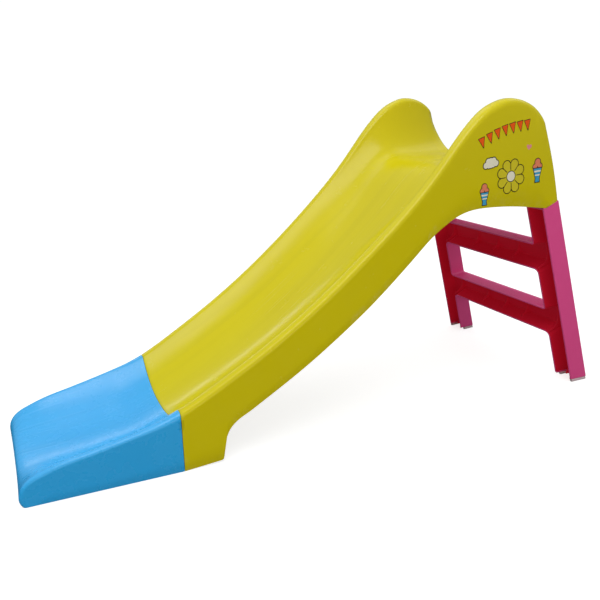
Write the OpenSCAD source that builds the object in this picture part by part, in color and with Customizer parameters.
// Children's straight slide: two-piece moulded chute, one-piece two-step ladder.
// +X runs from the exit lip to the ladder, +Z is up, the slide is symmetric about Y = 0.
// The origin is on the ground at the middle of the slide's length. Sizes are millimetres.

/* [Overall] */
// Length from the exit lip to the back of the ladder feet
slide_len = 1380; // [1340:5:1420]
// Half width of the side plane at the origin
side_y0 = 196; // [186:1:206]
// How much the side plane widens per millimetre towards the ladder
side_taper = 0.068; // [0.05:0.002:0.08]
// How much the side plane leans in per millimetre of height
side_draft = 0.026; // [0.02:0.002:0.03]
// Wall thickness of the two chute mouldings
wall_t = 4; // [3.5:0.5:5]

/* [Chute heights] */
// Height of the top of the handrail humps
hump_h = 710; // [703:1:717]
// Height of the sitting platform
platform_h = 563; // [558:1:568]
// Height of the sliding floor at the seam
seam_floor_h = 68; // [62:1:74]
// Height of the side rim at the seam
seam_rim_h = 127; // [122:1:132]
// Height of the sliding floor at the exit lip
exit_h = 25; // [22:1:28]
// Height of the skirt's lower edge under the platform
skirt_h = 479; // [476:1:482]

/* [Chute section] */
// Position of the seam between the lower and the upper chute
seam_x = -388; // [-398:2:-378]
// Radius of the rolled side rim
rim_r = 14; // [12:0.5:15]
// Gap between the two chutes at the seam
seam_gap = 1; // [0.4:0.1:1.2]
// Roundness of the sliding section, a higher number is squarer
trough_n = 2.5; // [2.3:0.1:2.8]
// Roundness of the section at the platform
platform_n = 7.5; // [6.5:0.5:8.5]

/* [Ladder] */
// Width of one ladder rail, measured across the slide
rail_w = 53; // [50:1:56]
// Wall thickness of the ladder moulding
ladder_t = 4; // [3.5:0.5:4.5]
// Height of the lower tread
tread1_h = 197; // [190:1:204]
// Height of the upper tread
tread2_h = 372; // [366:1:378]
// Depth of a step at its front edge
step_front = 71; // [68:1:74]
// Depth of a step at its back edge
step_back = 52; // [49:1:55]
// Height of the ladder plug above the butt line
plug_top = 545; // [535:1:548]
// Height of a foot cap
cap_h = 7; // [6:1:9]

/* [Fasteners] */
// Diameter of the seam bolts
bolt_d = 6; // [5:0.5:6]
// Length of the seam bolts
bolt_len = 22; // [21:1:28]
// Diameter of the ladder screws
screw_d = 5; // [4.5:0.5:5]
// Length of the ladder screws
screw_len = 22; // [20:1:24]

/* [Stickers] */
// Thickness of the printed stickers
sticker_t = 0.5; // [0.4:0.1:0.8]

/* [Hidden] */

sx = slide_len / 1380;             // lengthwise scale
xs = seam_x * sx;
x_tip = -690 * sx;
lean_f = 0.3407;                   // lean of the ladder's front plane
lean_r = 0.3482;                   // lean of the ladder's back plane
xf0 = 637 * sx;                    // ladder front plane at the ground
xr0 = 690 * sx;                    // ladder back plane at the ground
dh = hump_h - 710;
dp = platform_h - 563;
side_n = 2;                        // intervals down the side skirt
arc_n = 6;                         // intervals around the rolled rim
bed_n = 9;                         // intervals from the rim to the middle

yellow = [0.86, 0.80, 0.10];
blue = [0.25, 0.65, 0.93];
rose = [0.78, 0.20, 0.40];

// ---- planes -------------------------------------------------------------
function side(x, z) = side_y0 + side_taper * x - side_draft * z;
function xf(z) = xf0 - lean_f * z;
function xr(z) = xr0 - lean_r * z;

// ---- smooth curves ------------------------------------------------------
// piecewise cubic through knots [x, z, slope]
function seg(k, x, i = 0) = (i >= len(k) - 2 || x <= k[i + 1][0]) ? i : seg(k, x, i + 1);
function herm(a, b, x) = let (h = b[0] - a[0], t = min(1, max(0, (x - a[0]) / h)))
    a[1] * (2 * t * t * t - 3 * t * t + 1) + a[2] * h * (t * t * t - 2 * t * t + t)
    + b[1] * (3 * t * t - 2 * t * t * t) + b[2] * h * (t * t * t - t * t);
function curve(k, x) = let (i = seg(k, x)) herm(k[i], k[i + 1], x);
function bez(a, b, c, d, t) = pow(1 - t, 3) * a + 3 * pow(1 - t, 2) * t * b + 3 * (1 - t) * t * t * c + t * t * t * d;
function mix(a, b, t) = a + (b - a) * min(1, max(0, t));
function ease(a, b, x) = let (t = min(1, max(0, (x - a) / (b - a)))) t * t * (3 - 2 * t);

// upper chute: rim line, floor line and skirt line, as knots [x, z, slope]
rim_k = [[xs, seam_rim_h, 0.46], [-264 * sx, 195, 0.58 / sx], [-99 * sx, 304.5, 0.75 / sx], [75 * sx, 450.5, 0.92 / sx],
         [165 * sx, 540.5 + dh / 3, 1.12 / sx], [225 * sx, 613 + dh / 2, 1.23 / sx], [275 * sx, 667.5 + dh, 0.92 / sx],
         [318 * sx, 697 + dh, 0.42 / sx], [365 * sx, hump_h, 0], [410 * sx, 702 + dh, -0.36 / sx], [446 * sx, 681 + dh, -0.95 / sx]];
bed_k = [[xs, seam_floor_h, 0.46], [-264 * sx, 131, 0.57 / sx], [-99 * sx, 237, 0.75 / sx], [75 * sx, 380, 0.90 / sx],
         [165 * sx, 466, 1.0 / sx], [215 * sx, 518 + dp / 2, 1.0 / sx], [262 * sx, 555 + dp, 0.45 / sx], [305 * sx, platform_h, 0], [446 * sx, platform_h, 0]];
skirt_k = [[-298 * sx, 57, 3], [-287 * sx, 77, 1.1], [-243 * sx, 105.5, 0.6 / sx], [-100 * sx, 194.5, 0.69 / sx], [12 * sx, 277.5, 0.79 / sx],
           [126 * sx, 378.5, 0.94 / sx], [184 * sx, 432, 0.76 / sx], [244 * sx, skirt_h - 11, 0.40 / sx], [300 * sx, skirt_h, 0.05],
           [360 * sx, skirt_h, -0.03], [487 * sx, skirt_h - 12, -0.12]];
leg_k = [[-312 * sx, 6], [-308.2 * sx, 8.4], [-306.4 * sx, 13]]; // heel of the leg behind the seam
butt_a = [487 * sx, skirt_h - 12];                        // butt line between skirt and ladder
butt_b = [xr(skirt_h + 5), skirt_h + 5];
rear_top = [xr(646 + dh), 646 + dh];                      // where the hump meets the back plane
// lower chute
rim2_k = [[-650 * sx, 60, 0.40 / sx], [-607 * sx, 73.5, 0.24 / sx], [-562 * sx, 82, 0.19 / sx], [-516 * sx, 91, 0.21 / sx],
          [-468 * sx, 101.5, 0.24 / sx], [-430 * sx, 111.5, 0.30 / sx], [xs, seam_rim_h, 0.40]];
bed2_k = [[-664 * sx, exit_h, 0.02], [-590 * sx, exit_h + 2.5, 0.06], [-510 * sx, exit_h + 11, 0.17], [-440 * sx, seam_floor_h - 19, 0.33], [xs, seam_floor_h, 0.42]];

// ---- stations -----------------------------------------------------------
// each station is [rim point, floor point, skirt point, rim normal, edge radius, squareness, rim width if more than two radii]
function unit(v) = v / norm(v);
function nrm(k, x) = let (s = (curve(k, x + 1) - curve(k, x - 1)) / 2) unit([-s, 1]);
up_x = concat([for (i = [0:3]) xs + (leg_k[0][0] - xs) * i / 3], [leg_k[1][0], leg_k[2][0], -298 * sx, -287 * sx],
              [for (i = [1:31]) (-287 + (446 + 287) * i / 31) * sx]);
// lower edge of the skirt: the leg's sole rises slowly from the seam to the heel
function heel(x) = x <= leg_k[0][0] ? leg_k[0][1] * max(0, x - xs) / (leg_k[0][0] - xs)
    : x <= leg_k[1][0] ? mix(leg_k[0][1], leg_k[1][1], (x - leg_k[0][0]) / (leg_k[1][0] - leg_k[0][0]))
    : x <= leg_k[2][0] ? mix(leg_k[1][1], leg_k[2][1], (x - leg_k[1][0]) / (leg_k[2][0] - leg_k[1][0]))
    : x <= skirt_k[0][0] ? mix(leg_k[2][1], skirt_k[0][1], (x - leg_k[2][0]) / (skirt_k[0][0] - leg_k[2][0])) : curve(skirt_k, x);
function crown_r(x) = rim_r + 4 * ease(200 * sx, 330 * sx, x);   // the rim is rounder over the top of the hump
function up_st(x) = let (w = ease(xs, xs + 40, x), n0 = nrm(rim_k, x),
        n = unit([n0[0] * w, n0[1]]), zb = heel(x))
    [[x, curve(rim_k, x)], [x, curve(bed_k, x)], [x, zb], n, crown_r(x), mix(trough_n, platform_n, ease(40 * sx, 330 * sx, x))];
// back of the humps and of the platform, k runs from 0 to 1; the back wall bows out a little from the ladder's back plane
function xb(z) = xr(z) + 3.6 * sin(180 * min(1, max(0, (rear_top[1] - z) / (rear_top[1] - butt_b[1]))));
rear_r = 6;                        // edge radius down the back
rb_a = [446 * sx, 681 + dh];
function rear_rim(k) = k < 0.4 ? let (t = k / 0.4) [bez(rb_a[0], rb_a[0] + 8 * sx, rear_top[0] - 4.2, rear_top[0], t),
                                                    bez(rb_a[1], rb_a[1] - 8, rear_top[1] + 12, rear_top[1], t)]
                            : let (z = mix(rear_top[1], butt_b[1], (k - 0.4) / 0.6)) [xb(z), z];
roll_z = platform_h - 22;
function rear_bed(k) = k < 0.25 ? [mix(446 * sx, xb(platform_h) - 22, k / 0.25), platform_h]
    : k < 0.65 ? let (t = (k - 0.25) / 0.4, a = xb(platform_h) - 22) [bez(a, a + 12, xb(roll_z) - 4, xb(roll_z), t), bez(platform_h, platform_h, roll_z + 11, roll_z, t)]
    : let (z = mix(roll_z, butt_b[1], (k - 0.65) / 0.35)) [xb(z), z];
function rear_nrm(k) = let (p = rear_rim(max(0, k - 0.01)), q = rear_rim(min(1, k + 0.01)), n = unit([-(q - p)[1], (q - p)[0]]),
        b = unit(butt_b - butt_a)) unit(mix(n, b, ease(0.75, 1, k)));
function rear_skirt(k) = let (a = 446 * sx, b = 497 * sx, x = mix(a, b, k))
    [x, x < butt_a[0] ? curve(skirt_k, x) : butt_a[1] + (x - butt_a[0]) * (butt_b[1] - butt_a[1]) / (butt_b[0] - butt_a[0])];
rear_k = [0.12, 0.24, 0.34, 0.42, 0.5, 0.58, 0.66, 0.74, 0.82, 0.91, 1];
function rear_st(k) = [rear_rim(k), rear_bed(k), rear_skirt(k), rear_nrm(k), mix(rim_r + 4, rear_r, ease(0, 0.3, k)), mix(platform_n, 5.5, ease(0, 0.3, k)),
                       mix(2 * rim_r + 8, 2 * rim_r, ease(0, 0.3, k))];
upper_st = concat([for (x = up_x) up_st(x)], [for (k = rear_k) rear_st(k)]);

// lower chute, from the front bottom edge back to the seam
tip_r = 8;                         // edge radius of the exit's side walls
lip_in = 1.5;                      // the floor's front edge stands behind the side walls' ends
function rim_r2(x) = mix(tip_r, rim_r, ease(-480 * sx, xs, x));
function toe(k) = 5 * pow(max(0, 1 - k / 0.2), 2);         // the front bottom edge is rounded back a little
function tip_rim(k) = k < 0.2 ? [x_tip + toe(k), mix(0, 14, k / 0.2)]
    : let (t = (k - 0.2) / 0.8) [bez(x_tip, x_tip, x_tip + 15, x_tip + 40, t), bez(14, 38, 52, 60, t)];
function tip_bed(k) = k < 0.2 ? [x_tip + lip_in + toe(k), mix(0, 8, k / 0.2)]
    : let (t = (k - 0.2) / 0.8) [bez(x_tip + lip_in, x_tip + lip_in, x_tip + 12, x_tip + 28, t), bez(8, exit_h - 4, exit_h, exit_h, t)];
function tip_nrm(k) = k <= 0.2 ? [-1, 0] : let (p = tip_rim(max(0.2, k - 0.01)), q = tip_rim(min(1, k + 0.01))) unit([-(q - p)[1], (q - p)[0]]);
function tip_st(k) = [tip_rim(k), tip_bed(k), [mix(x_tip + 34, x_tip + 46, k), 0], tip_nrm(k), tip_r, 2.5];
function lo_st(x) = let (w = ease(xs, xs - 30, x), n0 = nrm(rim2_k, x), n = unit([n0[0] * w, n0[1]]), f = (x - (x_tip + 40)) / (xs - x_tip - 40))
    [[x, curve(rim2_k, x)], [mix(x_tip + 28, xs, f), curve(bed2_k, mix(x_tip + 28, xs, f))], [mix(x_tip + 46, xs, f), 0], n, rim_r2(x), trough_n];
lower_st = concat([for (k = [0, 0.08, 0.2, 0.35, 0.5, 0.65, 0.8, 1]) tip_st(k)],
                  [for (i = [1:11]) lo_st(x_tip + 40 + (xs - x_tip - 40) * i / 11)]);

// ---- section ------------------------------------------------------------
// points from the skirt's lower edge over the rim to the middle of the floor
function sp(v, q) = sign(v) * pow(abs(v), q);
function half(st) = let (c = st[0], f = st[1], b = st[2], n = st[3], r = st[4], e = st[5],
        q = 2 / (2 + 0.7 * min(1, max(0, (r - 6) / 8))),       // the rolled rim is a little squarer than a circle
        a0 = c - r * n, h = max(0, norm(c - f) - 0.4 * r), wd = len(st) > 6 ? st[6] : 2 * r, s0 = side(a0[0], a0[1]),
        yi0 = side(c[0], c[1]) - 0.9 * wd,
        ae = 90 + min(84, atan(e * h / yi0)),
        ya = s0 - wd + r + r * sp(cos(ae), q), a = a0 + r * sp(sin(ae), q) * n)
    concat(
        [for (i = [0:side_n - 1]) let (p = mix(b, a0, i / side_n)) [p[0], side(p[0], p[1]), p[1]]],
        [for (i = [0:arc_n]) let (g = ae * i / arc_n, p = a0 + r * sp(sin(g), q) * n) [p[0], (g < 90 ? s0 - r : s0 - wd + r) + r * sp(cos(g), q), p[1]]],
        [for (i = [1:bed_n]) let (u = i == bed_n ? 0 : pow(1 - i / bed_n, 0.75 + 0 * i), v = e > 4 ? 1 - pow(i / bed_n, 2.0) : u,
              uu = i == bed_n ? 0 : v, w = pow(uu, e), p = f + (a - f) * w) [p[0], ya * uu, p[1]]]);
function row(st) = let (h = half(st), m = len(h)) concat(h, [for (i = [m - 2:-1:0]) [h[i][0], -h[i][1], h[i][2]]]);

// ---- thick skin ---------------------------------------------------------
function at(g, i, j) = g[min(len(g) - 1, max(0, i))][min(len(g[0]) - 1, max(0, j))];
function vnorm(g, i, j) = let (c = cross(at(g, i + 1, j) - at(g, i - 1, j), at(g, i, j + 1) - at(g, i, j - 1))) c / norm(c);
side_nrm = unit([-side_taper, 1, side_draft]);
function onorm(g, i, j) = j <= side_n ? side_nrm : j >= len(g[0]) - 1 - side_n ? [side_nrm[0], -side_nrm[1], side_nrm[2]] : -vnorm(g, i, j);
// lock: 0 none, 1 keep x of the first row, 2 keep x of the last row
function inner(g, t, i, j, lock) = let (n = onorm(g, i, j), p = g[i][j] - t * n,
        kx = (lock == 1 && i == 0) || (lock == 2 && i == len(g) - 1),
        kz = g[i][j][2] < 0.01)
    [kx ? g[i][j][0] : p[0], p[1], kz ? 0 : max(0.3, p[2])];
module skin(sts, t, lock) {
    g = [for (s = sts) row(s)];
    r = len(g); c = len(g[0]);
    out = [for (i = [0:r - 1]) for (j = [0:c - 1]) g[i][j]];
    inn = [for (i = [0:r - 1]) for (j = [0:c - 1]) inner(g, t, i, j, lock)];
    o = r * c;
    top = [for (i = [0:r - 2]) for (j = [0:c - 2]) each [[i * c + j, i * c + j + 1, (i + 1) * c + j + 1], [i * c + j, (i + 1) * c + j + 1, (i + 1) * c + j]]];
    bot = [for (f = top) [f[2] + o, f[1] + o, f[0] + o]];
    e1 = [for (j = [0:c - 2]) each [[j + 1, j, o + j], [j + 1, o + j, o + j + 1]]];
    e2 = [for (j = [0:c - 2]) let (k = (r - 1) * c) each [[k + j, k + j + 1, o + k + j + 1], [k + j, o + k + j + 1, o + k + j]]];
    e3 = [for (i = [0:r - 2]) each [[i * c, (i + 1) * c, o + (i + 1) * c], [i * c, o + (i + 1) * c, o + i * c]]];
    e4 = [for (i = [0:r - 2]) let (k = c - 1) each [[(i + 1) * c + k, i * c + k, o + i * c + k], [(i + 1) * c + k, o + i * c + k, o + (i + 1) * c + k]]];
    fs = concat(top, bot, e1, e2, e3, e4);
    polyhedron(concat(out, inn), [for (f = fs) [f[2], f[1], f[0]]]);
}

// ---- prisms bounded by the side planes ----------------------------------
// pg is a convex outline in X and Z; o1 and o2 are distances in from the side plane
module prism2(p1, p2) {
    n = len(p1);
    polyhedron(concat(p1, p2), concat([[for (i = [0:n - 1]) i]], [[for (i = [n - 1:-1:0]) n + i]],
        [for (i = [0:n - 1]) let (k = (i + 1) % n) [i, n + i, n + k, k]]));
}
function ori(pg) = let (n = len(pg), a = [for (i = [0:n - 1]) let (p = pg[i], q = pg[(i + 1) % n]) p[0] * q[1] - q[0] * p[1]]) sumv(a) > 0 ? pg : [for (i = [n - 1:-1:0]) pg[i]];
function sumv(v, i = 0) = i >= len(v) ? 0 : v[i] + sumv(v, i + 1);
// one side, s = -1 left or +1 right
module sprism(pg0, o1, o2, s) {
    pg = ori(pg0);
    lo = [for (p = pg) [p[0], s > 0 ? side(p[0], p[1]) - o2 : -(side(p[0], p[1]) - o1), p[1]]];
    hi = [for (p = pg) [p[0], s > 0 ? side(p[0], p[1]) - o1 : -(side(p[0], p[1]) - o2), p[1]]];
    prism2(hi, lo);
}
// right across the slide
module yprism(pg0, o) {
    pg = ori(pg0);
    prism2([for (p = pg) [p[0], side(p[0], p[1]) - o, p[1]]], [for (p = pg) [p[0], -(side(p[0], p[1]) - o), p[1]]]);
}

// ---- chutes -------------------------------------------------------------
bolt_pos = [[-112, 42], [-48, 33], [48, 33], [112, 42]];       // seam bolts, Y and Z
flange_t = 5;
// height of the sliding surface at distance y from the middle, read off a section
// at the plane x, where the surface climbs g per millimetre along the slide
function zat(h, i, x, g) = h[i][2] - (h[i][0] - x) * g;
function surf(h, y, i, x, g) = i <= side_n + arc_n ? zat(h, i, x, g)
    : h[i][1] >= y ? mix(zat(h, i, x, g), zat(h, i - 1, x, g), (y - h[i][1]) / (h[i - 1][1] - h[i][1])) : surf(h, y, i - 1, x, g);
// cross wall from skirt to skirt, with its top hidden in the floor; top is the most it climbs above the middle
module cross_wall(x, t, z0, lowp, top) {
    yw = side(x, z0) - wall_t / 2;
    xm = x + t / 2;
    st = lowp ? lo_st(xm) : up_st(xm);
    h = half(st);
    k = lowp ? bed2_k : bed_k;
    g = (curve(k, xm + 1) - curve(k, xm - 1)) / 2;
    drop = wall_t * 0.55 * sqrt(1 + g * g);
    n = 28;
    ys = [for (i = [0:n]) yw * (1 - 2 * i / n)];
    translate([x, 0, 0]) rotate([90, 0, 90]) linear_extrude(t)
        polygon(concat([[-yw, z0], [yw, z0]], [for (y = ys) [y, min(st[1][1] + top, surf(h, abs(y), len(h) - 1, xm, g)) - drop]]));
}
module bolt_holes() {
    for (p = bolt_pos) translate([xs - 15, p[0], p[1]]) rotate([0, 90, 0]) cylinder(d = bolt_d + 0.6, h = 30, $fn = 48);
}
sock_in = rail_w + 0.6;                                        // socket wall, in from the side plane
screw_pos = [[478 * sx, 508], [474 * sx, 532]];                // ladder screws, X and Z
module socket(s) {
    // wall beside the ladder plug
    sprism([[440 * sx, 490], [xb(490) - 2.5, 490], [xb(552) - 2.5, 552], [440 * sx, 552]], sock_in, sock_in + 5, s);
}
module upper_chute() color(yellow) difference() {
    union() {
        skin([for (i = [0:len(upper_st) - 1]) let (s = upper_st[i]) i == 0 ? [for (k = [0:5]) k < 3 ? [xs + seam_gap / 2, s[k][1]] : s[k]] : s], wall_t, 1);
        cross_wall(xs + seam_gap / 2, flange_t, 8, false, 46);
        for (x = [-250, -120, 10, 130]) cross_wall(x * sx, 3.5, curve(bed_k, x * sx) - 26, false, 30);
        cross_wall(268 * sx, 3.5, 505, false, 10);
        cross_wall(350 * sx, 3.5, 505, false, 10);
        cross_wall(438 * sx, 4, 492, false, 10);
        for (y = [-62, 62]) translate([0, y + 1.75, 0]) rotate([90, 0, 0]) linear_extrude(3.5)
            polygon([[262 * sx, 508], [xb(508) - 2.5, 508], [xb(550) - 3, 550], [xb(platform_h) - 24, platform_h - 2.5], [310 * sx, platform_h - 2.5], [262 * sx, 540]]);
        for (s = [-1, 1]) socket(s);
    }
    bolt_holes();
    for (s = [-1, 1]) for (p = screw_pos) let (y = side(p[0], p[1]) - sock_in)
        translate([p[0], s * (y - 12), p[1]]) rotate([s > 0 ? -90 : 90, 0, 0]) cylinder(d = screw_d + 0.5, h = 14, $fn = 48);
}
module lower_chute() color(blue) difference() {
    union() {
        skin([for (i = [0:len(lower_st) - 1]) let (s = lower_st[i]) i == len(lower_st) - 1 ? [for (k = [0:5]) k < 3 ? [xs - seam_gap / 2, s[k][1]] : s[k]] : s], wall_t, 2);
        cross_wall(xs - seam_gap / 2 - flange_t, flange_t, 8, true, 46);
        for (x = [-460, -540]) cross_wall(x * sx, 3.5, 8, true, 26);
    }
    bolt_holes();
}

// ---- ladder -------------------------------------------------------------
lt = ladder_t;
butt_gap = 0.5;
function butt_z(x) = (x < butt_a[0] ? butt_a[1] : butt_a[1] + (x - butt_a[0]) * (butt_b[1] - butt_a[1]) / (butt_b[0] - butt_a[0])) - butt_gap;
zc = cap_h;
inset = wall_t + 0.7;                                          // plug stands in from the chute walls
// panel outline between the ladder's front and back planes
function band(z0, z1, f = 0, r = 0) = [[xf(z0) + f, z0], [xr(z0) - r, z0], [xr(z1) - r, z1], [xf(z1) + f, z1]];
module rail(s) {
    zb = butt_a[1] - butt_gap;
    // outer wall, up to the butt line
    sprism(band(zc, zb), 0, lt, s);
    sprism([[butt_a[0], zb - 4], [xr(zb - 4), zb - 4], [xr(butt_b[1] - butt_gap), butt_b[1] - butt_gap], [butt_a[0], zb]], 0, lt, s);
    // back wall and inner wall
    sprism([[xr(zc) - lt, zc], [xr(zc), zc], [xr(butt_b[1] - 1), butt_b[1] - 1], [xr(butt_b[1] - 1) - lt, butt_b[1] - 1]], lt / 2, rail_w - lt / 2, s);
    sprism(band(zc, plug_top, 0, 0), rail_w - lt, rail_w, s);
    // plug, standing in from the chute walls
    sprism(band(zb - 20, plug_top, 1, inset), inset, inset + lt, s);
    sprism([[xr(zb - 20) - inset - lt, zb - 20], [xr(zb - 20) - lt / 2, zb - 20], [xr(zb - 12) - lt / 2, zb - 12], [xr(zb - 12) - inset - lt, zb - 12]], inset, rail_w - 1, s);
    sprism([[xr(zb - 20) - inset - lt, zb - 20], [xr(zb - 20) - inset, zb - 20], [xr(plug_top) - inset, plug_top], [xr(plug_top) - inset - lt, plug_top]], inset, rail_w - 1, s);
    sprism(band(zb - 20, zb - 16, 1, lt), lt / 2, inset + lt / 2, s);
    // top of the plug
    sprism(band(plug_top - lt, plug_top, 1, inset), inset, rail_w - 1, s);
}
module step(zt, rise) {
    zr = zt + rise;                            // the tread climbs a little towards the back
    zf = zt - step_front; zb = zt - step_back;
    o = rail_w - 1.3;
    k = (zb - zf) / (xr(zb) - xf(zf));         // the bottom wall climbs towards the back
    fz = zf + 6;                               // top of the bottom wall at the front
    // tread, back wall and bottom wall around a pocket that is open at the front
    difference() {
        yprism([[xf(zt) + 0.4, zt], [xf(zf) + 0.4, zf], [xr(zb) - 0.4, zb], [xr(zr) - 0.4, zr]], o);
        yprism([[xf(zt) - 8, zt - lt], [xf(fz) - 8, fz - 8 * k], [xr(zb + 5) - lt, zb + 5], [xr(zr - lt) - lt, zr - lt]], o - 12);
    }
    // gussets between the bottom wall and the back wall
    for (y = [-75, 0, 75]) translate([0, y + 1.5, 0]) rotate([90, 0, 0]) linear_extrude(3)
        polygon([[xf(fz) + 16, fz + 16 * k - 1.5], [xr(zb + 2) - 2, zb + 2], [xr(zb + 32) - 2, zb + 32]]);
    // grip lines on the tread
    for (d = [12, 22, 32]) let (z = zt + rise * d / 52)
        yprism([[xf(zt) + d, z - 1], [xf(zt) + d + 3, z - 1], [xf(zt) + d + 2.4, z + 1], [xf(zt) + d + 0.6, z + 1]], rail_w + 6);
}
module screw_boss(s, d1, l) {
    for (p = screw_pos) let (y = side(p[0], p[1]) - rail_w + 1)
        translate([p[0], s * y, p[1]]) rotate([s > 0 ? -90 : 90, 0, 0]) cylinder(d = d1, h = l, $fn = 48);
}
module ladder_frame() color(rose) difference() {
    union() {
        for (s = [-1, 1]) { rail(s); screw_boss(s, 12, 21); }
        step(tread1_h, 4);
        step(tread2_h, 1);
    }
    for (s = [-1, 1]) for (p = screw_pos) let (y = side(p[0], p[1]) - rail_w)
        translate([p[0], s * (y - 1), p[1]]) rotate([s > 0 ? -90 : 90, 0, 0]) cylinder(d = screw_d, h = 20, $fn = 48);
}
module foot_cap(s) color([0.80, 0.76, 0.77]) {
    sprism(band(0, zc), 0, rail_w, s);
    // plug inside the rail
    sprism([[xf(zc) + 3, zc - 1], [xr(zc) - lt - 1, zc - 1], [xr(zc + 14) - lt - 1, zc + 14], [xf(zc + 14) + 3, zc + 14]], lt + 0.5, rail_w - lt - 0.5, s);
}

// ---- fasteners ----------------------------------------------------------
wash_t = 1.2;
bolt_face = xs - seam_gap / 2 - flange_t;
nut_face = xs + seam_gap / 2 + flange_t;
module seam_bolts() color([0.75, 0.75, 0.77]) for (p = bolt_pos) translate([bolt_face - wash_t, p[0], p[1]]) rotate([0, 90, 0]) {
    cylinder(d = bolt_d, h = bolt_len, $fn = 48);
    translate([0, 0, -4]) cylinder(d = bolt_d * 1.7, h = 4, $fn = 6);
}
module seam_washers() color([0.8, 0.8, 0.82]) for (p = bolt_pos) for (x = [bolt_face - wash_t, nut_face]) translate([x, p[0], p[1]]) rotate([0, 90, 0]) difference() {
    cylinder(d = bolt_d * 2.2, h = wash_t, $fn = 48);
    translate([0, 0, -1]) cylinder(d = bolt_d + 0.4, h = wash_t + 2, $fn = 48);
}
module seam_nuts() color([0.72, 0.72, 0.74]) for (p = bolt_pos) translate([nut_face + wash_t, p[0], p[1]]) rotate([0, 90, 0]) difference() {
    cylinder(d = bolt_d * 1.75, h = 5, $fn = 6);
    translate([0, 0, -1]) cylinder(d = bolt_d + 0.1, h = 7, $fn = 48);
}
function screw_seat(p) = side(p[0], p[1]) - sock_in - 5;
module at_screw(s) { for (p = screw_pos) translate([p[0], s * screw_seat(p), p[1]]) rotate([s > 0 ? -90 : 90, 0, 0]) children(); }
module ladder_screws() color([0.75, 0.75, 0.77]) for (s = [-1, 1]) at_screw(s) {
    translate([0, 0, -wash_t - 0.3]) cylinder(d = screw_d - 0.2, h = screw_len, $fn = 48);
    translate([0, 0, -wash_t - 0.3 - 3.2]) difference() {
        cylinder(d = screw_d * 1.8, h = 3.2, $fn = 48);
        translate([-3, -0.6, -1]) cube([6, 1.2, 2.5]);
        translate([-0.6, -3, -1]) cube([1.2, 6, 2.5]);
    }
}
module ladder_washers() color([0.8, 0.8, 0.82]) for (s = [-1, 1]) at_screw(s) translate([0, 0, -wash_t - 0.3]) difference() {
    cylinder(d = screw_d * 2.2, h = wash_t, $fn = 48);
    translate([0, 0, -1]) cylinder(d = screw_d + 0.4, h = wash_t + 2, $fn = 48);
}

// ---- stickers -----------------------------------------------------------
// puts a flat outline on a side plane, upright, with its middle at x and z
module on_side(s, x, z, a = 0) {
    y = s * side(x, z);
    translate([x, y, z])
        rotate([s < 0 ? 90 - atan(side_draft) : 90 + atan(side_draft), 0, s < 0 ? -atan(side_taper) : 180 + atan(side_taper)])
            translate([0, 0, 0.03]) rotate([0, 0, s < 0 ? a : -a]) linear_extrude(sticker_t) children();
}
module garland(s) color([0.90, 0.42, 0.12]) for (i = [0:6]) let (t = i / 6)
    on_side(s, mix(290, 408, t) * sx, mix(618, 653, t) + 7 * sin(180 * t), 20 - 8 * t) polygon([[-9.2, 12.2], [9.2, 12.2], [0, -13.2]]);
module cloud(s) color([0.93, 0.94, 0.97]) on_side(s, 316 * sx, 576, 10) union() {
    circle(r = 12.5, $fn = 32);
    translate([-13.5, -3]) circle(r = 8.5, $fn = 32);
    translate([13.5, -3]) circle(r = 8.5, $fn = 32);
    translate([-13.5, -11.5]) square([27, 10]);
}
module flower(s) color([0.96, 0.90, 0.45]) on_side(s, 374 * sx, 545, 8) union() {
    circle(r = 27, $fn = 40);
    for (k = [0:7]) rotate(45 * k + 22.5) translate([27.5, 0]) circle(r = 12, $fn = 24);
}
module heart(s) color([0.86, 0.38, 0.55]) on_side(s, 418 * sx, 607, 0) union() {
    translate([-3.4, 2]) circle(r = 4.4, $fn = 24);
    translate([3.4, 2]) circle(r = 4.4, $fn = 24);
    polygon([[-7.3, 0], [7.3, 0], [0, -8.5]]);
}
module cones(s) color([0.35, 0.62, 0.88]) for (q = [[305, 510, 1], [448, 556, 1.12]]) on_side(s, q[0] * sx, q[1], 5) scale(q[2]) union() {
    translate([0, 12]) circle(r = 12.5, $fn = 32);
    polygon([[-12, 8], [12, 8], [5, -26], [-5, -26]]);
}

upper_chute();
lower_chute();
ladder_frame();
foot_cap(-1);  // left_foot_cap
foot_cap(1);  // right_foot_cap
seam_bolts();
seam_washers();
seam_nuts();
ladder_screws();
ladder_washers();
garland(-1);  // left_garland_sticker
cloud(-1);  // left_cloud_sticker
flower(-1);  // left_flower_sticker
heart(-1);  // left_heart_sticker
cones(-1);  // left_cone_stickers
garland(1);  // right_garland_sticker
cloud(1);  // right_cloud_sticker
flower(1);  // right_flower_sticker
heart(1);  // right_heart_sticker
cones(1);  // right_cone_stickers
